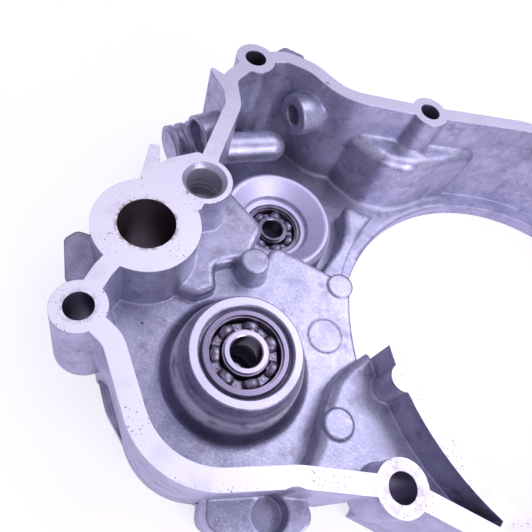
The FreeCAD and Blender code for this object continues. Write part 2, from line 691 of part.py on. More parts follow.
# Cross shaft bores
cuts.append(lying_cylinder("port_mouth", port_mouth - shaft_way, shaft_angle, "port_mouth_radius",
                           "port_mouth_depth + 1"))
cuts.append(lying_cylinder("port_bore", port_mouth - shaft_way, shaft_angle, "port_bore_radius", "22"))
cuts.append(lying_cylinder("pivot_bore", pivot_face - shaft_way, shaft_angle, "pivot_bore_radius",
                           "pivot_bore_depth + 1"))
cover = cut("cover_casting", metal, fuse("bores", cuts))


# Ball bearings
def ring_body(name, bearing, bore, radius):
    """Bearing ring: a turned band with a ball track ground into it."""
    body = doc.addObject("PartDesign::Body", name)
    plane = [item for item in body.Origin.OriginFeatures if item.Role == "XZ_Plane"][0]
    section = body.newObject("Sketcher::SketchObject", name + "_section")
    section.AttachmentSupport = (plane, "")
    section.MapMode = "FlatFace"
    corners = [Vector(1, 0, 0), Vector(2, 0, 0), Vector(2, 1, 0), Vector(1, 1, 0)]
    for i in range(4):
        section.addGeometry(Part.LineSegment(corners[i], corners[(i + 1) % 4]), False)
    for i in range(4):
        section.addConstraint(Sketcher.Constraint("Coincident", i, 2, (i + 1) % 4, 1))
    for i, kind in enumerate(["Horizontal", "Vertical", "Horizontal", "Vertical"]):
        section.addConstraint(Sketcher.Constraint(kind, i))
    measures = [
        ("inside", Sketcher.Constraint("DistanceX", -1, 1, 0, 1, 1.0), bore),
        ("outside", Sketcher.Constraint("DistanceX", -1, 1, 0, 2, 2.0), radius),
        ("width", Sketcher.Constraint("DistanceY", 1, 1, 1, 2, 1.0), bearing + "_bearing_width"),
    ]
    section.addConstraint(Sketcher.Constraint("PointOnObject", 0, 1, -1))
    for word, constraint, words in measures:
        index = section.addConstraint(constraint)
        section.renameConstraint(index, word)
        section.setExpression("Constraints." + word, formula(words))
    band = body.newObject("PartDesign::Revolution", name + "_band")
    band.Profile = section
    band.ReferenceAxis = (section, ["V_Axis"])
    band.Angle = 360
    doc.recompute()

    track = body.newObject("Sketcher::SketchObject", name + "_track")
    track.AttachmentSupport = (plane, "")
    track.MapMode = "FlatFace"
    track.addGeometry(Part.Circle(Vector(3, 1, 0), UP, 0.5), False)
    middle = Sketcher.Constraint("DistanceX", -1, 1, 0, 3, 3.0)
    height = Sketcher.Constraint("DistanceY", -1, 1, 0, 3, 1.0)
    span = Sketcher.Constraint("Radius", 0, 0.5)
    for word, constraint, words in [
        ("pitch", middle, bearing + "_ball_pitch"),
        ("middle", height, bearing + "_bearing_width / 2"),
        ("track", span, bearing + "_ball_radius + track_clearance"),
    ]:
        index = track.addConstraint(constraint)
        track.renameConstraint(index, word)
        track.setExpression("Constraints." + word, formula(words))
    groove = body.newObject("PartDesign::Groove", name + "_groove")
    groove.Profile = track
    groove.ReferenceAxis = (track, ["V_Axis"])
    groove.Angle = 360
    body.Tip = groove
    doc.recompute()
    rims = []
    for number, line in enumerate(groove.Shape.Edges, 1):
        box = line.BoundBox
        flat = abs(box.ZMax - box.ZMin) < 1e-6
        at_face = abs(box.ZMin) < 1e-6 or abs(box.ZMin - size(bearing + "_bearing_width")) < 1e-6
        if flat and at_face:
            rims.append("Edge%d" % number)
    ease = body.newObject("PartDesign::Chamfer", name + "_ease")
    ease.Base = (groove, rims)
    ease.Size = 0.3
    body.Tip = ease
    return body


def on_pitch(item, bearing, angle, height):
    """Bind an item to the ball circle at an angle, at a height above the bearing's lower face."""
    pitch = bearing + "_ball_pitch"
    return bind(item, x="%s * cos(%s)" % (pitch, angle), y="%s * sin(%s)" % (pitch, angle), z=height)


def turn_step(step):
    """Angle of one ball as an expression."""
    return "%s * 360 deg / ball_count" % step


def bearing_parts(bearing, low):
    """The six nodes of one ball bearing; low is the formula of its lower face."""
    middle = bearing + "_bearing_width / 2"
    pitch = bearing + "_ball_pitch"
    shoulder = "%s_ball_radius * land_share" % bearing
    place = dict(x=bearing + "_x", y=bearing + "_y", z=low)
    count = int(size("ball_count"))
    parts = []
    outer = ring_body(bearing + "_outer_band", bearing, "%s + %s" % (pitch, shoulder),
                      bearing + "_bearing_radius")
    inner = ring_body(bearing + "_inner_band", bearing, bearing + "_bearing_bore",
                      "%s - %s" % (pitch, shoulder))
    width = bearing + "_bearing_width"
    edges = {"outer": "%s + %s + ring_lip" % (pitch, shoulder),
             "inner": "%s - %s - ring_lip" % (pitch, shoulder)}
    for kind, ring in (("outer", outer), ("inner", inner)):
        recesses = []
        for side, bottom in (("low", "-1"), ("high", width + " - ring_step")):
            name = "%s_%s_recess" % (ring.Name, side)
            disc = cylinder(name, "0", "0", bottom, edges[kind], "ring_step + 1")
            if kind == "inner":
                outside = cylinder(name + "_outside", "0", "0", bottom, pitch, "ring_step + 1")
                disc = cut(name + "_ring", outside, disc)
            recesses.append(disc)
        node_name = "%s_bearing_%s_ring" % (bearing, kind)
        stepped = cut(node_name, ring, fuse(node_name + "_recesses", recesses))
        parts.append(bind(stepped, **place))

    balls = []
    for step in range(count):
        ball = doc.addObject("Part::Sphere", "%s_ball_%d" % (bearing, step + 1))
        bind(ball, Radius=bearing + "_ball_radius")
        balls.append(on_pitch(ball, bearing, turn_step(step), middle))
    group = doc.addObject("Part::Compound", bearing + "_bearing_balls")
    group.Links = balls
    parts.append(bind(group, **place))

    band_out = cylinder(bearing + "_cage_outside", "0", "0", "0", "%s + cage_reach" % pitch,
                        bearing + "_bearing_width")
    band_in = cylinder(bearing + "_cage_inside", "0", "0", "-1", "%s - cage_reach" % pitch,
                       bearing + "_bearing_width + 2")
    band = cut(bearing + "_cage_band", band_out, band_in)
    domes = []
    pockets = []
    for step in range(count):
        dome = doc.addObject("Part::Sphere", "%s_dome_%d" % (bearing, step + 1))
        bind(dome, Radius=bearing + "_ball_radius + cage_clearance + cage_thickness")
        domes.append(on_pitch(dome, bearing, turn_step(step), middle))
        pocket = doc.addObject("Part::Sphere", "%s_pocket_%d" % (bearing, step + 1))
        bind(pocket, Radius=bearing + "_ball_radius + cage_clearance")
        pockets.append(on_pitch(pocket, bearing, turn_step(step), middle))
    for step in range(count):
        hole = doc.addObject("Part::Cylinder", "%s_rivet_hole_%d" % (bearing, step + 1))
        bind(hole, Radius="rivet_radius + 0.02", Height=bearing + "_bearing_width")
        pockets.append(on_pitch(hole, bearing, turn_step(step + 0.5), "0"))
    pocket_set = fuse(bearing + "_cage_pockets", pockets)
    for half, side in (("upper", 1), ("lower", -1)):
        slab_low = middle if side > 0 else middle + " - cage_thickness"
        half_low = middle if side > 0 else "0"
        mark = "%s_%s" % (bearing, half)
        slab = cylinder("cage_slab_" + mark, "0", "0", slab_low, pitch + " * 1.5", "cage_thickness")
        room = cylinder("cage_room_" + mark, "0", "0", half_low, pitch + " * 1.5", middle)
        shells = common("cage_shells_" + mark, [fuse("cage_domes_" + mark, domes), room])
        form = common("cage_form_" + mark, [fuse("cage_sum_" + mark, [shells, slab]), band])
        cage = cut("%s_bearing_cage_%s" % (bearing, half), form, pocket_set)
        parts.append(bind(cage, **place))

    rivets = []
    for step in range(count):
        rivet = doc.addObject("Part::Cylinder", "%s_rivet_%d" % (bearing, step + 1))
        bind(rivet, Radius="rivet_radius", Height="2 * cage_thickness + 0.5")
        rivets.append(on_pitch(rivet, bearing, turn_step(step + 0.5), middle + " - cage_thickness - 0.25"))
    rivet_group = doc.addObject("Part::Compound", bearing + "_bearing_rivets")
    rivet_group.Links = rivets
    parts.append(bind(rivet_group, **place))
    return parts


# Shaft seals
def seal_parts(kind, low):
    """Steel case, rubber lip and garter spring of one shaft seal."""
    radius = size("seal_radius")
    width = size("seal_width")
    steel = size("seal_steel")
    lip = size("seal_lip_radius")
    lining = radius - steel - size("seal_lining")
    ridge = lining - 2 * (size("seal_spring_radius") + size("seal_slack"))
    place = dict(x="pump_x", y="pump_y", z=low)
    wall = radius - steel
    flange_edge = wall - size("seal_flange")
    case = [(flange_edge, 0), (radius, 0), (radius, width), (wall, width), (wall, steel),
            (flange_edge, steel)]
    rubber = [(lip + 1.0, steel), (wall, steel), (wall, width - 0.4), (lining, width - 0.4),
              (lining, steel + 1.4), (ridge, steel + 1.4), (ridge, width - 0.9), (lip + 0.7, width - 0.9),
              (lip, width - 1.9), (lip + 0.7, steel + 1.6)]
    items = [
        bind(turned(kind + "_case", "pump_x", "pump_y", case), **place),
        bind(turned(kind + "_lip", "pump_x", "pump_y", rubber), **place),
    ]
    spring = doc.addObject("Part::Torus", kind + "_spring")
    bind(spring, Radius1="seal_radius - seal_steel - seal_lining - seal_slack - seal_spring_radius",
         Radius2="seal_spring_radius", x="pump_x", y="pump_y", z=low + " + seal_width - 2.1")
    items.append(spring)
    return items


nodes = [cover]
nodes += bearing_parts("pump", pump_seat_low)
nodes += bearing_parts("governor", "governor_bearing_height - governor_bearing_width")
nodes += seal_parts("coolant_seal", "chamber_depth + 0.5")
nodes += seal_parts("oil_seal", "chamber_depth + 0.5 + seal_width + seal_gap")

doc.recompute()
for item in doc.Objects:
    if "Invalid" in item.State or "Error" in item.State:
        raise RuntimeError("%s did not build: %s" % (item.Name, item.State))

os.makedirs("parts", exist_ok=True)
for node in nodes:
    node.Label = node.Name
    if node.Shape.isNull() or not node.Shape.isValid():
        raise RuntimeError(node.Name + " has no valid shape")
    node.Shape.exportStep("parts/%s.step" % node.Name)
    print(node.Name, len(node.Shape.Solids), "solids", round(node.Shape.Volume, 1), "mm3")
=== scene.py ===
import json
import math

import bmesh
import bpy
from mathutils import Matrix, Vector


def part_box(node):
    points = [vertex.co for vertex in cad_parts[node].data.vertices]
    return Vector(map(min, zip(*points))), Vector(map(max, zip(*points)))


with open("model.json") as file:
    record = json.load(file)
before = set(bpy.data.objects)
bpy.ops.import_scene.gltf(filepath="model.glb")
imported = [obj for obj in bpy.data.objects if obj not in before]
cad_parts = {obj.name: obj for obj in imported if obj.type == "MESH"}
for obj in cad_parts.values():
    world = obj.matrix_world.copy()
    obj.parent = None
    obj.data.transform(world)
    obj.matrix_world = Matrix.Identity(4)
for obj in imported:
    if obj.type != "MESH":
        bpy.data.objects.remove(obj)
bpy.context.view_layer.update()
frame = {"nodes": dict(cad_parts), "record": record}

bl_info = {
    "name": "Clutch cover looks",
    "version": (1, 0, 0),
    "blender": (4, 5, 0),
    "location": "View3D > Sidebar > Clutch Cover",
    "description": "Finishes and studio of a cast clutch cover with its two ball bearings",
    "category": "Object",
}

MM = 0.001
CAST_NODE = "cover_casting"
BEARINGS = ("pump_bearing", "governor_bearing")
SEALS = ("coolant_seal", "oil_seal")

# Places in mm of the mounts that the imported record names
MOUNTS = {mount["name"]: [value / MM for value in mount["pos_m"]] for mount in frame["record"]["mounts"]}
# Upright axes in mm, from the clutch opening's centre
OPENING = MOUNTS["clutch_opening"][:2]
PUMP = MOUNTS["pump_shaft_bore"][:2]
GOVERNOR = MOUNTS["governor_shaft_bore"][:2]
PASSAGE = MOUNTS["coolant_passage"][:2]
SEAT = MOUNTS["seat_bore"][:2]
LEFT_BOLT = MOUNTS["left_bolt_hole"][:2]
LOWER_BOLT = MOUNTS["lower_bolt_hole"][:2]
CORNER_BOLT = MOUNTS["corner_bolt_hole"][:2]
UPPER_BOLT = MOUNTS["upper_bolt_hole"][:2]

# Radii of the bolt holes, the coolant passage and the housing's outside, in mm
BOLT_RADIUS = 3.5
PASSAGE_RADIUS = 7.35
HOUSING_RADIUS = 86.5
# Heights above the outer face, and how near a surface must lie to one, in mm
FLANGE_FACE = MOUNTS["gasket_face"][2]
BOSS_FACE = FLANGE_FACE - 3.5
FACE_SPREAD = 0.05
# Height of the near bearing's upper ring faces, which get a painted tone of light and shade; the far one's
# are dulled by oil
RING_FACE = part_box("pump_bearing_outer_ring")[1][2] / MM
RING_SPREAD = 0.35
# Dirt at the foot of the outer walls, from where it starts down to where it is thick
FOOT_HEIGHTS = (15.0, 5.0)
# The far flange is painted darker than the near one, as painted shade: y where it starts and where it is
# full
FAR_SHADE_FROM, FAR_SHADE_FULL = -45.0, 30.0
# The pump bearing's boss swells below its turned face: radii that its skirt fades between, heights that
# it swells between, how far it swells, and the heights that the painted highlight on the crest of the
# swell fades between
SKIRT_RADII = (21.0, 17.5)
SKIRT_DROP = 0.3
SWELL_HEIGHTS = (35.5, 29.0)
SWELL = 3.6
CREST_HIGHLIGHT_FOOT = (27.5, 31.5)
CREST_HIGHLIGHT_TOP = (37.0, 33.5)
# Slope of the dish round the governor bearing, painted lighter as painted light where the walls shade it
DISH_REACH = 17.4
DISH_TOP = 24.5
# Deep corner of the bay, darkened as painted shade
DEEP_CORNER = (-97.0, 36.0)
DEEP_CORNER_RADII = (27.0, 8.0)
DEEP_CORNER_HEIGHTS = (16.0, 8.0)
# Counterbored seat, painted lighter as painted light, with two turned rings down its wall kept bright as
# painted highlights and painted shade between them
SEAT_REACH = 5.3
SEAT_RINGS = (37.2, 35.3)
SEAT_RING_SPREAD = 0.45
# Ledge under the upper bolt, whose edges are cast softer than the rest
LEDGE = (UPPER_BOLT[0], UPPER_BOLT[1] - 10.2)
LEDGE_REACH = 32.0
LEDGE_DROP = 2.0
LEDGE_SOFTNESS = 3.0
# Rounding of a milled edge, and how far the masks of bores and marks reach past their radii
MILLED_EDGE = 0.15
BORE_SLACK = 0.15
MARK_SLACK = 0.3

# Bores whose walls are painted darker: axis, radius in mm and colour. The coolant passage's brown is
# coolant and oil stain darkened further as painted shade; the bolt holes' darker walls are painted shade
BORES = (
    (PASSAGE, PASSAGE_RADIUS, "#5A4B52"),
    (LEFT_BOLT, BOLT_RADIUS, "#565066"),
    (LOWER_BOLT, BOLT_RADIUS, "#736C82"),
    (CORNER_BOLT, BOLT_RADIUS, "#625C70"),
    (UPPER_BOLT, BOLT_RADIUS, "#7A7388"),
)
# Dried oil on the milled faces: centre, inner and outer radius in mm, and colour
MARKS = (
    (PASSAGE, PASSAGE_RADIUS, 8.4, "#8A6A5C"),
    (LOWER_BOLT, BOLT_RADIUS, 9.0, "#D2C9D6"),
    (LEFT_BOLT, BOLT_RADIUS, 5.0, "#C6BECD"),
    ((-105.3, 36.2), 0.3, 1.4, "#7B5648"),
    ((-122.4, -29.3), 0.3, 1.8, "#8D6A5C"),
    ((-122.2, -7.4), 0.3, 0.8, "#8D6A5C"),
)
# Cast pits in the bay floor: centre and radius in mm
PITS = (
    ((-93.3, -18.1), 0.45),
    ((-117.4, -60.2), 0.35),
)
PIT_COLOUR = "#3F3B4A"

# Blotches: size in mm, detail and offset of the noise. The real skin's speckle and grain are under 0.3 mm
# and are drawn coarser, so that they show
CLOUDS = (16.0, 2.5, 0.31)
STREAKS = (3.5, 6.0, 0.77)
SPECKLE = (0.55, 3.0, 0.9)
# Patches: the same, and the noise values where a patch starts and where it is full
SMUDGES = (7.0, 6.0, 0.47, 0.50, 0.68)
SMUDGE_BREAKS = (2.2, 4.0, 0.63, 0.40, 0.62)
SCUFFS = (9.0, 3.0, 0.21, 0.66, 0.72)
PORES = (0.55, 2.0, 0.5, 0.37, 0.31)
PORE_CLUSTERS = (12.0, 2.0, 0.88, 0.48, 0.58)
STAINS = (8.0, 5.0, 0.13, 0.50, 0.72)
WEAR = (1.6, 5.0, 0.35, 0.42, 0.60)
# Limits that cut a shared noise, by input of the node that cuts it
TONE_LIMITS = {1: 0.38, 2: 0.62}
LIGHT_SPECKLE = {1: 0.56, 2: 0.70}
DARK_SPECKLE = {1: 0.42, 2: 0.30}
FOOT_SPECKLE = {1: 0.56, 2: 0.44}
CREST_HIGHLIGHT_STREAKS = {1: 0.25, 2: 0.50}
STEEL_CLOUDS = {1: 0.35, 2: 0.65}
SKY_BAND = {1: 0.05, 2: 0.85}
SMOOTH = {"interpolation_type": "SMOOTHSTEP"}
# Second coordinate of a noise's offset as a share of the first, and the streaks' share in the skin's tone
OFFSET_SKEW = 0.7
STREAK_SHARE = 0.45
# Detail of the skin's grain, and of the noise on steel and rubber
GRAIN_DETAIL = 5.0
PLAIN_DETAIL = 3.0
# Turn and stretch that draw the scuffs out along one way
SCUFF_TURN = (0, 0, 0.6)
SCUFF_STRETCH = (1, 14, 3)

# How much each layer hides the one below, from 0 to 1
STRENGTH = {
    "light speckle": 0.30,
    "dark speckle": 0.35,
    "smudges": 0.55,
    "foot dirt": 0.6,
    "scuffs": 0.25,
    "boss shade": 0.10,
    "boss crest highlight": 0.90,
    "deep corner shade": 0.6,
    "dish": 0.75,
    "stains": 0.35,
    "pores": 0.9,
    "far flange shade": 0.55,
    "boss face": 0.8,
    "marks": 0.75,
    "seat": 0.8,
    "seat shade": 0.4,
    "pits": 0.85,
    "ring face": 0.9,
}

# Upward share of the normal: above LEVEL a face is flat, above SLOPED it is a floor or a slope, and below
# UPRIGHT, or BORE_WALL inside a bore, it is a wall
LEVEL = 0.995
SLOPED = 0.3
UPRIGHT = 0.5
BORE_WALL = 0.9

# Typical of aluminium, then matched to the photograph: a blasted skin shines softly, and a milled face
# under a dry film scatters most of its light
SKIN_METAL = 0.72
MILLED_METAL = 0.30
SKIN_ROUGH = (0.32, 0.46)
DISH_ROUGH = 0.54
MILLED_ROUGH = (0.40, 0.52)
STEEL_ROUGH_SPREAD = 0.2
RUBBER_ROUGH = 0.55
PAPER_ROUGH = 0.9
GRAIN_STRENGTH = 0.22
GRAIN_DEPTH = 0.3
EDGE_SAMPLES = 8

# Camera: x and y of its place and the nearest that it sees in m, and its sensor in mm
CAMERA_PLACE = (-0.09522, -0.10492)
CLIP_START = 0.005
SENSOR_WIDTH = 36.0
# Paper: half its side and its gap to the cover in m, the strength of its glow and the glow's share
FLOOR_HALF = 3.0
FLOOR_DROP = 0.0002
PAPER_GLOW = 1.45
PAPER_SHARE = 0.5
# Lamps: the point they aim at, and the name, place and size in m and share of the power of each
LAMP_AIM = Vector((-0.09, -0.02, 0.03))
LAMPS = (
    ("overhead softbox", (0.10, 0.22, 0.55), 0.35, 1.0),
    ("front softbox", (0.30, -0.26, 0.26), 0.30, 1.05),
)
WHITE = (1, 1, 1, 1)


def linear(hex_colour):
    """Linear RGBA of an sRGB hex colour."""
    channels = [int(hex_colour[i:i + 2], 16) / 255 for i in (1, 3, 5)]
    return [c / 12.92 if c <= 0.04045 else ((c + 0.055) / 1.055) ** 2.4 for c in channels] + [1.0]


def add_node(tree, kind, inputs, **settings):
    """Adds a shader node with its settings, and sets or links its inputs."""
    node = tree.nodes.new("ShaderNode" + kind)
    for name, value in settings.items():
        setattr(node, name, value)
    for name, value in inputs.items():
        if isinstance(value, bpy.types.NodeSocket):
            tree.links.new(value, node.inputs[name])
        else:
            node.inputs[name].default_value = value
    return node


def new_material(name):
    """Material with a Principled shader, and its tree, shader and object coordinates."""
    material = bpy.data.materials.new(name)
    material.use_nodes = True
    tree = material.node_tree
    tree.nodes.clear()
    shader = add_node(tree, "BsdfPrincipled", {})
    add_node(tree, "OutputMaterial", {"Surface": shader.outputs[0]})
    place = add_node(tree, "TexCoord", {}).outputs["Object"]
    return material, tree, shader, place


def all_of(tree, *masks):
    """Product of masks and strengths, so 1 where all of them are."""
    product = masks[0]
    for mask in masks[1:]:
        product = add_node(tree, "Math", {0: product, 1: mask}, operation="MULTIPLY").outputs[0]
    return product


def overlay(tree, colour, hex_colour, *masks):
    """Lays a colour over another as far as all its masks and strengths let it."""
    inputs = {0: all_of(tree, *masks), 6: colour, 7: linear(hex_colour)}
    return add_node(tree, "Mix", inputs, data_type="RGBA").outputs[2]


def blotches(tree, place, size_mm, detail, offset=0.0):
    """Noise of about a given size, moved by an offset so that no two patterns line up."""
    shift = (offset, offset * OFFSET_SKEW, 0)
    moved = add_node(tree, "Mapping", {"Vector": place, "Location": shift})
    inputs = {"Vector": moved.outputs[0], "Scale": 1 / (size_mm * MM), "Detail": detail}
    return add_node(tree, "TexNoise", inputs).outputs[0]


def patches(tree, place, size_mm, detail, offset, start, full):
    """Blotches cut to patches, 0 where the noise is at its start value and 1 at its full value."""
    value = blotches(tree, place, size_mm, detail, offset)
    return add_node(tree, "MapRange", {0: value, 1: start, 2: full}, **SMOOTH).outputs[0]


def upward(tree):
    """Upward share of the surface's true normal."""
    normal = add_node(tree, "NewGeometry", {}).outputs["True Normal"]
    return add_node(tree, "SeparateXYZ", {0: normal}).outputs[2]


def height_band(tree, place, height_mm, spread_mm):
    """1 where the surface lies within a spread of a height above the outer face."""
    z = add_node(tree, "SeparateXYZ", {0: place}).outputs[2]
    inputs = {0: z, 1: height_mm * MM, 2: spread_mm * MM}
    return add_node(tree, "Math", inputs, operation="COMPARE").outputs[0]


def height_fade(tree, place, heights):
    """0 at the first height above the outer face, fading to 1 at the second."""
    z = add_node(tree, "SeparateXYZ", {0: place}).outputs[2]
    none, full = heights
    return add_node(tree, "MapRange", {0: z, 1: none * MM, 2: full * MM}, **SMOOTH).outputs[0]


def below(tree, place, height_mm):
    """1 where the surface lies lower than a height above the outer face."""
    z = add_node(tree, "SeparateXYZ", {0: place}).outputs[2]
    return add_node(tree, "Math", {0: z, 1: height_mm * MM}, operation="LESS_THAN").outputs[0]


def axis_distance(tree, place, axis):
    """Level distance of the surface from an upright axis, in m."""
    flat = add_node(tree, "VectorMath", {0: place, 1: (1, 1, 0)}, operation="MULTIPLY").outputs[0]
    x, y = axis
    inputs = {0: flat, 1: (x * MM, y * MM, 0)}
    return add_node(tree, "VectorMath", inputs, operation="DISTANCE").outputs["Value"]


def axis_fade(tree, place, axis, radii):
    """0 at the first radius round an upright axis, fading to 1 at the second."""
    away = axis_distance(tree, place, axis)
    none, full = radii
    return add_node(tree, "MapRange", {0: away, 1: none * MM, 2: full * MM}, **SMOOTH).outputs[0]


def within(tree, place, axis, reach_mm):
    """1 where the surface lies nearer to an upright axis than a reach."""
    inputs = {0: axis_distance(tree, place, axis), 1: reach_mm * MM}
    return add_node(tree, "Math", inputs, operation="LESS_THAN").outputs[0]


def beyond(tree, place, axis, reach_mm):
    """1 where the surface lies further from an upright axis than a reach."""
    inputs = {0: axis_distance(tree, place, axis), 1: reach_mm * MM}
    return add_node(tree, "Math", inputs, operation="GREATER_THAN").outputs[0]


def foot_of_walls(tree, place):
    """1 low on the walls outside the housing, where dirt clings."""
    wall = add_node(tree, "Math", {0: upward(tree), 1: UPRIGHT}, operation="LESS_THAN").outputs[0]
    outside = beyond(tree, place, OPENING, HOUSING_RADIUS)
    return all_of(tree, height_fade(tree, place, FOOT_HEIGHTS), wall, outside)


def boss_skirt(tree, place):
    """1 on the pump bearing's boss below its turned face, fading out round its foot."""
    under_face = below(tree, place, BOSS_FACE - SKIRT_DROP)
    return all_of(tree, axis_fade(tree, place, PUMP, SKIRT_RADII), under_face)


def dish_area(tree, place):
    """1 on the dish round the governor bearing."""
    return all_of(tree, within(tree, place, GOVERNOR, DISH_REACH), below(tree, place, DISH_TOP))


def blasted_skin(tree, place, settings, tone):
    """Cloudy skin with fine light and dark speckle, smudges of dried oil and scuffs across them."""
    clouds = add_node(tree, "MapRange", {0: tone, **TONE_LIMITS}, **SMOOTH).outputs[0]
    skin = overlay(tree, linear(settings.skin_dark), settings.skin, clouds)
    speckle = blotches(tree, place, *SPECKLE)
    light = add_node(tree, "MapRange", {0: speckle, **LIGHT_SPECKLE}, **SMOOTH).outputs[0]
    skin = overlay(tree, skin, settings.face, light, STRENGTH["light speckle"])
    dark = add_node(tree, "MapRange", {0: speckle, **DARK_SPECKLE}, **SMOOTH).outputs[0]
    skin = overlay(tree, skin, settings.grime_and_shade, dark, STRENGTH["dark speckle"])
    smudges = all_of(tree, patches(tree, place, *SMUDGES), patches(tree, place, *SMUDGE_BREAKS))
    skin = overlay(tree, skin, settings.grime_and_shade, smudges, STRENGTH["smudges"])
    thick = add_node(tree, "MapRange", {0: speckle, **FOOT_SPECKLE}, **SMOOTH).outputs[0]
    skin = overlay(tree, skin, settings.grime_and_shade, foot_of_walls(tree, place), thick, STRENGTH["foot dirt"])
    inputs = {"Vector": place, "Rotation": SCUFF_TURN, "Scale": SCUFF_STRETCH}
    drawn = add_node(tree, "Mapping", inputs).outputs[0]
    return overlay(tree, skin, settings.face, patches(tree, drawn, *SCUFFS), STRENGTH["scuffs"])


def local_skin(tree, place, settings, skin, streaks):
    """Skin of the boss, the deep corner and the dish, each unlike the skin round it: painted shade on the
    boss's skirt and in the deep corner, a painted highlight on the boss's crest, and painted light on the
    dish.
    """
    skirt = boss_skirt(tree, place)
    # Painted shade: the boss's skirt darkened with the grime colour
    skin = overlay(tree, skin, settings.grime_and_shade, skirt, STRENGTH["boss shade"])
    # Painted highlight: a bright band on the crest of the boss's swell, broken by streaks
    crest_highlight_streaks = add_node(tree, "MapRange", {0: streaks, **CREST_HIGHLIGHT_STREAKS}, **SMOOTH).outputs[0]
    crest = all_of(tree, height_fade(tree, place, CREST_HIGHLIGHT_FOOT), height_fade(tree, place, CREST_HIGHLIGHT_TOP), crest_highlight_streaks)
    skin = overlay(tree, skin, settings.face, skirt, crest, STRENGTH["boss crest highlight"])
    # Painted shade: the deep corner of the bay darkened, low down
    corner = axis_fade(tree, place, DEEP_CORNER, DEEP_CORNER_RADII)
    low = height_fade(tree, place, DEEP_CORNER_HEIGHTS)
    skin = overlay(tree, skin, settings.grime_and_shade, corner, low, STRENGTH["deep corner shade"])
    # Painted light: the dish's slope painted lighter with the dish colour
    sloped = add_node(tree, "Math", {0: upward(tree), 1: SLOPED}, operation="GREATER_THAN").outputs[0]
    return overlay(tree, skin, settings.dish, dish_area(tree, place), sloped, STRENGTH["dish"])


def milled_faces(tree, place, settings, stains, pores):
    """Milled metal with gasket and oil marks and opened pores, with painted shade on the far flange and on
    the boss's face.
    """
    bright = overlay(tree, linear(settings.face), settings.stain, stains, STRENGTH["stains"])
    bright = overlay(tree, bright, settings.pore, pores, STRENGTH["pores"])
    # Painted shade: the milled flange darkened towards its far side
    y = add_node(tree, "SeparateXYZ", {0: place}).outputs[1]
    inputs = {0: y, 1: FAR_SHADE_FROM * MM, 2: FAR_SHADE_FULL * MM}
    far = add_node(tree, "MapRange", inputs, **SMOOTH).outputs[0]
    bright = overlay(tree, bright, settings.far_flange_shade, far, STRENGTH["far flange shade"])
    # Painted shade: the boss's turned face painted darker than the flange
    boss = height_band(tree, place, BOSS_FACE, FACE_SPREAD)
    bright = overlay(tree, bright, settings.boss_face_shade, boss, STRENGTH["boss face"])
    worn = patches(tree, place, *WEAR)
    for centre, inner, outer, shade in MARKS:
        fade = axis_fade(tree, place, centre, (outer, inner))
        outside = beyond(tree, place, centre, inner - MARK_SLACK)
        bright = overlay(tree, bright, shade, fade, outside, worn, STRENGTH["marks"])
    return bright


def holes(tree, place, settings, colour):
    """Bore walls painted darker, the seat painted lighter with painted highlights at its turned rings and
    painted shade between them, and the pits of the floor.
    """
    wall = add_node(tree, "Math", {0: upward(tree), 1: BORE_WALL}, operation="LESS_THAN").outputs[0]
    # Painted shade: bore walls darkened, over the passage's coolant stain
    for axis, radius, shade in BORES:
        colour = overlay(tree, colour, shade, within(tree, place, axis, radius + BORE_SLACK), wall)
    seat = within(tree, place, SEAT, SEAT_REACH)
    # Painted light: the seat's wall painted lighter with the milled face's colour
    colour = overlay(tree, colour, settings.face, seat, STRENGTH["seat"])
    upper, lower = [height_band(tree, place, height, SEAT_RING_SPREAD) for height in SEAT_RINGS]
    rings = add_node(tree, "Math", {0: upper, 1: lower}, operation="MAXIMUM").outputs[0]
    between = add_node(tree, "Math", {0: 1.0, 1: rings}, operation="SUBTRACT").outputs[0]
    # Painted shade between the seat's two rings, which stay bright as painted highlights
    colour = overlay(tree, colour, settings.grime_and_shade, seat, between, STRENGTH["seat shade"])
    for centre, radius in PITS:
        colour = overlay(tree, colour, PIT_COLOUR, within(tree, place, centre, radius), STRENGTH["pits"])
    return colour


def cast_roughness(tree, place, tone, stains, milled):
    """Roughness that follows the skin's tone, is even in the dish and follows the stains when milled."""
    smooth, coarse = SKIN_ROUGH
    skin = add_node(tree, "Mix", {0: tone, 2: smooth, 3: coarse}).outputs[0]
    skin = add_node(tree, "Mix", {0: dish_area(tree, place), 2: skin, 3: DISH_ROUGH}).outputs[0]
    clean, stained = MILLED_ROUGH
    face = add_node(tree, "Mix", {0: stains, 2: clean, 3: stained}).outputs[0]
    return add_node(tree, "Mix", {0: milled, 2: skin, 3: face}).outputs[0]


def cast_relief(tree, place, settings, pores, milled):
    """Normal with rounded cast edges, the boss's soft shoulder, the skin's grain and the opened pores."""
    under_flange = below(tree, place, FLANGE_FACE - LEDGE_DROP)
    ledge = all_of(tree, within(tree, place, LEDGE, LEDGE_REACH), under_flange)
    softer = LEDGE_SOFTNESS * settings.edge
    rounding = add_node(tree, "Mix", {0: ledge, 2: settings.edge, 3: softer}).outputs[0]
    rounding = add_node(tree, "Mix", {0: milled, 2: rounding, 3: MILLED_EDGE * MM}).outputs[0]
    rounded = add_node(tree, "Bevel", {"Radius": rounding}, samples=EDGE_SAMPLES).outputs[0]
    skirt = boss_skirt(tree, place)
    swell = all_of(tree, height_fade(tree, place, SWELL_HEIGHTS), SWELL * MM, skirt, skirt)
    swollen = add_node(tree, "Bump", {"Height": swell, "Distance": 1.0, "Normal": rounded}).outputs[0]
    grain = blotches(tree, place, settings.grain / MM, GRAIN_DETAIL)
    sunk = all_of(tree, pores, -1.0)
    height = add_node(tree, "Mix", {0: milled, 2: grain, 3: sunk}).outputs[0]
    depth = GRAIN_DEPTH * MM
    inputs = {"Height": height, "Strength": GRAIN_STRENGTH, "Distance": depth, "Normal": swollen}
    return add_node(tree, "Bump", inputs).outputs[0]


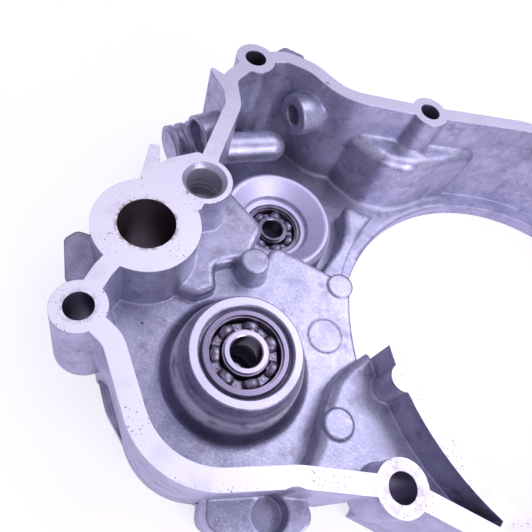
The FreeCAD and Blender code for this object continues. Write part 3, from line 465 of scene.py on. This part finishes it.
def cast_aluminium(settings):
    """Finish of the casting, with its milled faces."""
    # Silicon aluminium, pressure cast and blasted: a dull, fine, cloudy skin, milled bright at its faces
    material, tree, shader, place = new_material("cast aluminium, milled faces")
    clouds = blotches(tree, place, *CLOUDS)
    streaks = blotches(tree, place, *STREAKS)
    tone = add_node(tree, "Mix", {0: STREAK_SHARE, 2: clouds, 3: streaks}).outputs[0]
    stains = patches(tree, place, *STAINS)
    # The cutter opens pores of the casting in clusters
    pores = all_of(tree, patches(tree, place, *PORES), patches(tree, place, *PORE_CLUSTERS))
    level = add_node(tree, "Math", {0: upward(tree), 1: LEVEL}, operation="GREATER_THAN").outputs[0]
    flange, boss = [height_band(tree, place, height, FACE_SPREAD) for height in (FLANGE_FACE, BOSS_FACE)]
    near_face = add_node(tree, "Math", {0: flange, 1: boss}, operation="MAXIMUM").outputs[0]
    milled = all_of(tree, level, near_face)
    skin = blasted_skin(tree, place, settings, tone)
    skin = local_skin(tree, place, settings, skin, streaks)
    bright = milled_faces(tree, place, settings, stains, pores)
    colour = add_node(tree, "Mix", {0: milled, 6: skin, 7: bright}, data_type="RGBA").outputs[2]
    colour = holes(tree, place, settings, colour)
    metal = add_node(tree, "Mix", {0: milled, 2: SKIN_METAL, 3: MILLED_METAL}).outputs[0]
    rough = cast_roughness(tree, place, tone, stains, milled)
    relief = cast_relief(tree, place, settings, pores, milled)
    tree.links.new(colour, shader.inputs["Base Color"])
    tree.links.new(metal, shader.inputs["Metallic"])
    tree.links.new(rough, shader.inputs["Roughness"])
    tree.links.new(relief, shader.inputs["Normal"])
    return material


def ground_steel(name, light, roughness, cloud_mm, dark=None, face=None, metal=1.0):
    """Steel with the cloudy brown that oil leaves where a dark is given, and where a face is given, the
    rings' upper faces painted in that colour as painted light and shade.
    """
    # Through-hardened steel, ground: fine sheen with faint brown clouds of old oil
    material, tree, shader, place = new_material(name)
    clouds = blotches(tree, place, cloud_mm, PLAIN_DETAIL)
    shader.inputs["Base Color"].default_value = linear(light)
    if dark:
        share = add_node(tree, "MapRange", {0: clouds, **STEEL_CLOUDS}, **SMOOTH).outputs[0]
        colour = overlay(tree, linear(dark), light, share)
        if face:
            # Painted light and shade: the ring's upper face painted in its own colour
            painted_ring_face = height_band(tree, place, RING_FACE, RING_SPREAD)
            colour = overlay(tree, colour, face, painted_ring_face, STRENGTH["ring face"])
        tree.links.new(colour, shader.inputs["Base Color"])
    smooth = roughness * (1 - STEEL_ROUGH_SPREAD)
    coarse = roughness * (1 + STEEL_ROUGH_SPREAD)
    rough = add_node(tree, "Mix", {0: clouds, 2: smooth, 3: coarse}).outputs[0]
    tree.links.new(rough, shader.inputs["Roughness"])
    shader.inputs["Metallic"].default_value = metal
    return material


def seal_rubber(settings):
    """Moulded nitrile rubber."""
    # Nitrile rubber, moulded: black, dull, faintly dusty
    material, tree, shader, place = new_material("nitrile rubber")
    dust = blotches(tree, place, settings.dust / MM, PLAIN_DETAIL)
    colour = overlay(tree, linear(settings.rubber), settings.dusty_rubber, dust)
    tree.links.new(colour, shader.inputs["Base Color"])
    shader.inputs["Roughness"].default_value = RUBBER_ROUGH
    return material


def paint(node_name, material):
    """Gives a CAD node its finish."""
    node = frame["nodes"][node_name]
    node.data.materials.clear()
    node.data.materials.append(material)


class CoverCastingSettings(bpy.types.PropertyGroup):
    """Finish of the casting."""
    skin: bpy.props.StringProperty(
        name="Skin", description="Cast skin, sRGB hex", default="#C0BFD2"
    )
    skin_dark: bpy.props.StringProperty(
        name="Dark skin", description="Dark clouds of the skin", default="#A3A2B8"
    )
    face: bpy.props.StringProperty(
        name="Milled face", description="Milled face, sRGB hex", default="#FCFAFF"
    )
    # Painted shade: colour of the far flange, darker than the near one's milled face
    far_flange_shade: bpy.props.StringProperty(
        name="Dull face", description="Dulled far flange", default="#B4ABC4"
    )
    # Painted shade: colour of the turned boss face, darker than the flange's milled face
    boss_face_shade: bpy.props.StringProperty(
        name="Boss face", description="Turned boss face", default="#DCD8EA"
    )
    # Painted light: colour of the dish's slope, lighter than the skin round it
    dish: bpy.props.StringProperty(
        name="Dish", description="Slope round the far bearing", default="#E6E2FB"
    )
    pore: bpy.props.StringProperty(
        name="Pore", description="Opened pores, sRGB hex", default="#8F8896"
    )
    stain: bpy.props.StringProperty(
        name="Stain", description="Gasket and oil marks", default="#CFC6CC"
    )
    # Colour of grime for the smudges and dark speckle. It is also painted shade on the boss's skirt, in
    # the deep corner of the bay and between the seat's rings
    grime_and_shade: bpy.props.StringProperty(
        name="Grime", description="Smudges and dark speckle", default="#7A7385"
    )
    grain: bpy.props.FloatProperty(
        name="Grain", description="Grain of the skin", default=0.0007, unit="LENGTH"
    )
    edge: bpy.props.FloatProperty(
        name="Edge", description="Rounding of cast edges", default=0.0012, unit="LENGTH"
    )


class CoverBearingSettings(bpy.types.PropertyGroup):
    """Finish of the ball bearings."""
    ring: bpy.props.StringProperty(
        name="Ring", description="Ring steel, sRGB hex", default="#8D8799"
    )
    ring_dark: bpy.props.StringProperty(
        name="Ring stain", description="Oil-browned ring steel", default="#756C78"
    )
    # Painted shade: outer ring's upper face, darker than the inner ring's
    outer_face_shade: bpy.props.StringProperty(
        name="Outer face", description="Face of the outer ring", default="#8A8297"
    )
    # Painted highlight: inner ring's upper face, lighter than the ring steel
    inner_face_light: bpy.props.StringProperty(
        name="Inner face", description="Face of the inner ring", default="#B4AEC0"
    )
    ball: bpy.props.StringProperty(
        name="Ball", description="Ball steel, sRGB hex", default="#E6E3F2"
    )
    cage: bpy.props.StringProperty(
        name="Cage", description="Cage steel, sRGB hex", default="#9C98AC"
    )


class CoverSealSettings(bpy.types.PropertyGroup):
    """Finish of the shaft seals."""
    rubber: bpy.props.StringProperty(
        name="Rubber", description="Clean rubber, sRGB hex", default="#5A5868"
    )
    dusty_rubber: bpy.props.StringProperty(
        name="Dusty rubber", description="Dusty rubber, sRGB hex", default="#747284"
    )
    dust: bpy.props.FloatProperty(
        name="Dust", description="Size of the dust's blotches", default=0.0015, unit="LENGTH"
    )
    case: bpy.props.StringProperty(
        name="Case", description="Case steel, sRGB hex", default="#88868C"
    )
    case_dark: bpy.props.StringProperty(
        name="Case stain", description="Oiled case steel", default="#6C6A70"
    )
    spring: bpy.props.StringProperty(
        name="Spring", description="Spring wire, sRGB hex", default="#A6A4AA"
    )
    spring_dark: bpy.props.StringProperty(
        name="Spring stain", description="Oiled spring wire", default="#8C8A90"
    )


class CoverStageSettings(bpy.types.PropertyGroup):
    """Camera, floor and light."""
    lens: bpy.props.FloatProperty(
        name="Lens", description="Focal length on a 36 mm frame", default=33.86, unit="CAMERA"
    )
    height: bpy.props.FloatProperty(
        name="Camera height", description="Camera above the outer face", default=0.155, unit="LENGTH"
    )
    pitch: bpy.props.FloatProperty(
        name="Pitch", description="Camera below the horizon",
        default=math.radians(58.76), subtype="ANGLE"
    )
    roll: bpy.props.FloatProperty(
        name="Roll", description="Camera about its own axis",
        default=math.radians(27.79), subtype="ANGLE"
    )
    zenith: bpy.props.FloatProperty(
        name="Zenith", description="Light from overhead",
        default=0.65, min=0.0, max=1.0, subtype="FACTOR"
    )
    horizon: bpy.props.FloatProperty(
        name="Horizon", description="Light from the sides",
        default=0.36, min=0.0, max=1.0, subtype="FACTOR"
    )
    lamp: bpy.props.FloatProperty(
        name="Lamp", description="Power of the softboxes", default=1.5, unit="POWER"
    )
    lamp_colour: bpy.props.StringProperty(
        name="Lamp colour", description="Light of the softboxes, sRGB hex", default="#ECE9FF"
    )
    sky_colour: bpy.props.StringProperty(
        name="Sky colour", description="Light from around, sRGB hex", default="#E6E2FF"
    )
    paper: bpy.props.StringProperty(
        name="Paper", description="Paper under the cover, sRGB hex", default="#ECE4F8"
    )
    paper_tint: bpy.props.StringProperty(
        name="Paper tint", description="Paper as the metal mirrors it", default="#E6DEFA"
    )


class COVER_OT_casting(bpy.types.Operator):
    """Give the casting its cast skin and milled faces"""
    bl_idname = "cover.casting"
    bl_label = "Casting"

    def execute(self, context):
        settings = context.scene.cover_casting
        paint(CAST_NODE, cast_aluminium(settings))
        return {"FINISHED"}


class COVER_OT_bearings(bpy.types.Operator):
    """Finish both ball bearings"""
    bl_idname = "cover.bearings"
    bl_label = "Bearings"

    def execute(self, context):
        settings = context.scene.cover_bearing
        ring = settings.ring
        dark = settings.ring_dark
        # Ring faces get painted light and shade: the inner ring's face a painted highlight, the outer
        # ring's face a darker painted shade, while their tracks stay dark with oil
        outer = ground_steel("outer ring steel", ring, roughness=0.34, cloud_mm=3.0, dark=dark,
                             face=settings.outer_face_shade)
        inner = ground_steel("inner ring steel", ring, roughness=0.30, cloud_mm=3.0, dark=dark,
                             face=settings.inner_face_light)
        # Balls are polished to mirrors, which mostly show the dark rings round them
        ball = ground_steel("polished ball steel", settings.ball, roughness=0.16, cloud_mm=1.0, dark=ring)
        # Cages are pressed sheet, whose film of oil scatters some light; rivets are plain wire
        cage = ground_steel("pressed steel cage", settings.cage, roughness=0.36, cloud_mm=1.5, dark=dark,
                            metal=0.7)
        rivet = ground_steel("rivet steel", ring, roughness=0.35, cloud_mm=1.5)
        for bearing in BEARINGS:
            paint(bearing + "_outer_ring", outer)
            paint(bearing + "_inner_ring", inner)
            paint(bearing + "_balls", ball)
            paint(bearing + "_cage_upper", cage)
            paint(bearing + "_cage_lower", cage)
            paint(bearing + "_rivets", rivet)
        return {"FINISHED"}


class COVER_OT_seals(bpy.types.Operator):
    """Finish the two shaft seals"""
    bl_idname = "cover.seals"
    bl_label = "Shaft seals"

    def execute(self, context):
        settings = context.scene.cover_seal
        # Cases are pressed from sheet and dull; springs are wound from brighter wire
        case = ground_steel("pressed seal case", settings.case, roughness=0.4, cloud_mm=2.0,
                            dark=settings.case_dark)
        coil = ground_steel("garter spring wire", settings.spring, roughness=0.3, cloud_mm=1.0,
                            dark=settings.spring_dark)
        rubber = seal_rubber(settings)
        for seal in SEALS:
            paint(seal + "_case", case)
            paint(seal + "_lip", rubber)
            paint(seal + "_spring", coil)
        return {"FINISHED"}


class COVER_OT_stage(bpy.types.Operator):
    """Set up the floor, the light and the camera"""
    bl_idname = "cover.stage"
    bl_label = "Stage"

    def execute(self, context):
        settings = context.scene.cover_stage
        self.build_floor(context, settings)
        self.build_world(context.scene, settings)
        self.build_lamps(context, settings)
        self.build_camera(context, settings)
        context.scene.view_settings.view_transform = "Standard"
        return {"FINISHED"}

    def build_floor(self, context, settings):
        """Sheet of paper under the cover."""
        mesh = bpy.data.meshes.new("floor")
        sheet = bmesh.new()
        drop = Matrix.Translation((0, 0, -FLOOR_DROP))
        bmesh.ops.create_grid(sheet, size=FLOOR_HALF, matrix=drop)
        sheet.to_mesh(mesh)
        sheet.free()
        floor = bpy.data.objects.new("floor", mesh)
        context.collection.objects.link(floor)
        mesh.materials.append(self.white_paper(settings))

    def white_paper(self, settings):
        """Paper of the floor."""
        # White paper: matt, and shown bright so that it reads as a white ground with a faint shadow
        material, tree, shader, place = new_material("white paper")
        shader.inputs["Base Color"].default_value = linear(settings.paper)
        shader.inputs["Roughness"].default_value = PAPER_ROUGH
        path = add_node(tree, "LightPath", {})
        camera_ray = path.outputs["Is Camera Ray"]
        inputs = {0: camera_ray, 6: linear(settings.paper_tint), 7: WHITE}
        tint = add_node(tree, "Mix", inputs, data_type="RGBA").outputs[2]
        glow = add_node(tree, "Emission", {"Color": tint, "Strength": PAPER_GLOW}).outputs[0]
        seen = camera_ray
        for ray in ("Is Glossy Ray", "Is Transmission Ray"):
            seen = add_node(tree, "Math", {0: seen, 1: path.outputs[ray]}, operation="MAXIMUM").outputs[0]
        share = all_of(tree, seen, PAPER_SHARE)
        mixed = add_node(tree, "MixShader", {0: share, 1: shader.outputs[0], 2: glow}).outputs[0]
        tree.links.new(mixed, tree.get_output_node("ALL").inputs["Surface"])
        return material

    def build_world(self, scene, settings):
        """Soft light from around, brighter overhead, with a white ground for the camera."""
        world = bpy.data.worlds.new("studio")
        scene.world = world
        world.use_nodes = True
        tree = world.node_tree
        tree.nodes.clear()
        way = add_node(tree, "TexCoord", {}).outputs["Generated"]
        up = add_node(tree, "SeparateXYZ", {0: way}).outputs[2]
        level = add_node(tree, "MapRange", {0: up, **SKY_BAND}, **SMOOTH).outputs[0]
        strength = add_node(tree, "Mix", {0: level, 2: settings.horizon, 3: settings.zenith}).outputs[0]
        camera_ray = add_node(tree, "LightPath", {}).outputs["Is Camera Ray"]
        strength = add_node(tree, "Mix", {0: camera_ray, 2: strength, 3: 1.0}).outputs[0]
        inputs = {0: camera_ray, 6: linear(settings.sky_colour), 7: WHITE}
        colour = add_node(tree, "Mix", inputs, data_type="RGBA").outputs[2]
        sky = add_node(tree, "Background", {"Color": colour, "Strength": strength})
        add_node(tree, "OutputWorld", {"Surface": sky.outputs[0]})

    def build_lamps(self, context, settings):
        """Softboxes aimed at the cover."""
        for name, place, size, share in LAMPS:
            data = bpy.data.lights.new(name, "AREA")
            data.size = size
            data.energy = settings.lamp * share
            data.color = linear(settings.lamp_colour)[:3]
            lamp = bpy.data.objects.new(name, data)
            lamp.location = place
            aim = LAMP_AIM - lamp.location
            lamp.rotation_euler = aim.to_track_quat("-Z", "Y").to_euler()
            context.collection.objects.link(lamp)

    def build_camera(self, context, settings):
        """Camera at the photograph's angle."""
        pitch = settings.pitch
        roll = settings.roll
        ahead = Vector((0, math.cos(pitch), -math.sin(pitch)))
        level_up = Vector((0, math.sin(pitch), math.cos(pitch)))
        right = math.cos(roll) * Vector((1, 0, 0)) + math.sin(roll) * level_up
        up = right.cross(ahead)
        turn = Matrix((right, up, -ahead)).transposed().to_4x4()
        data = bpy.data.cameras.new("camera")
        data.lens = settings.lens
        data.sensor_width = SENSOR_WIDTH
        data.clip_start = CLIP_START
        camera = bpy.data.objects.new("camera", data)
        camera.matrix_world = Matrix.Translation((*CAMERA_PLACE, settings.height)) @ turn
        context.collection.objects.link(camera)
        context.scene.camera = camera


STEPS = (COVER_OT_casting, COVER_OT_bearings, COVER_OT_seals, COVER_OT_stage)

GROUPS = {
    CoverCastingSettings: "cover_casting",
    CoverBearingSettings: "cover_bearing",
    CoverSealSettings: "cover_seal",
    CoverStageSettings: "cover_stage",
}


class COVER_PT_panel(bpy.types.Panel):
    """Lists the settings of the finishes and the stage, and the steps that apply them"""
    bl_idname = "COVER_PT_panel"
    bl_label = "Clutch Cover"
    bl_space_type = "VIEW_3D"
    bl_region_type = "UI"
    bl_category = "Clutch Cover"

    def draw(self, context):
        for group in GROUPS.values():
            settings = getattr(context.scene, group)
            for name in settings.__annotations__:
                self.layout.prop(settings, name)
        for step in STEPS:
            self.layout.operator(step.bl_idname)


def register():
    for group, name in GROUPS.items():
        bpy.utils.register_class(group)
        setattr(bpy.types.Scene, name, bpy.props.PointerProperty(type=group))
    for item in (*STEPS, COVER_PT_panel):
        bpy.utils.register_class(item)


def unregister():
    for item in (*STEPS, COVER_PT_panel):
        bpy.utils.unregister_class(item)
    for group, name in GROUPS.items():
        delattr(bpy.types.Scene, name)
        bpy.utils.unregister_class(group)


def main():
    register()
    bpy.ops.cover.casting()
    bpy.ops.cover.bearings()
    bpy.ops.cover.seals()
    bpy.ops.cover.stage()


if __name__ == "__main__":
    main()
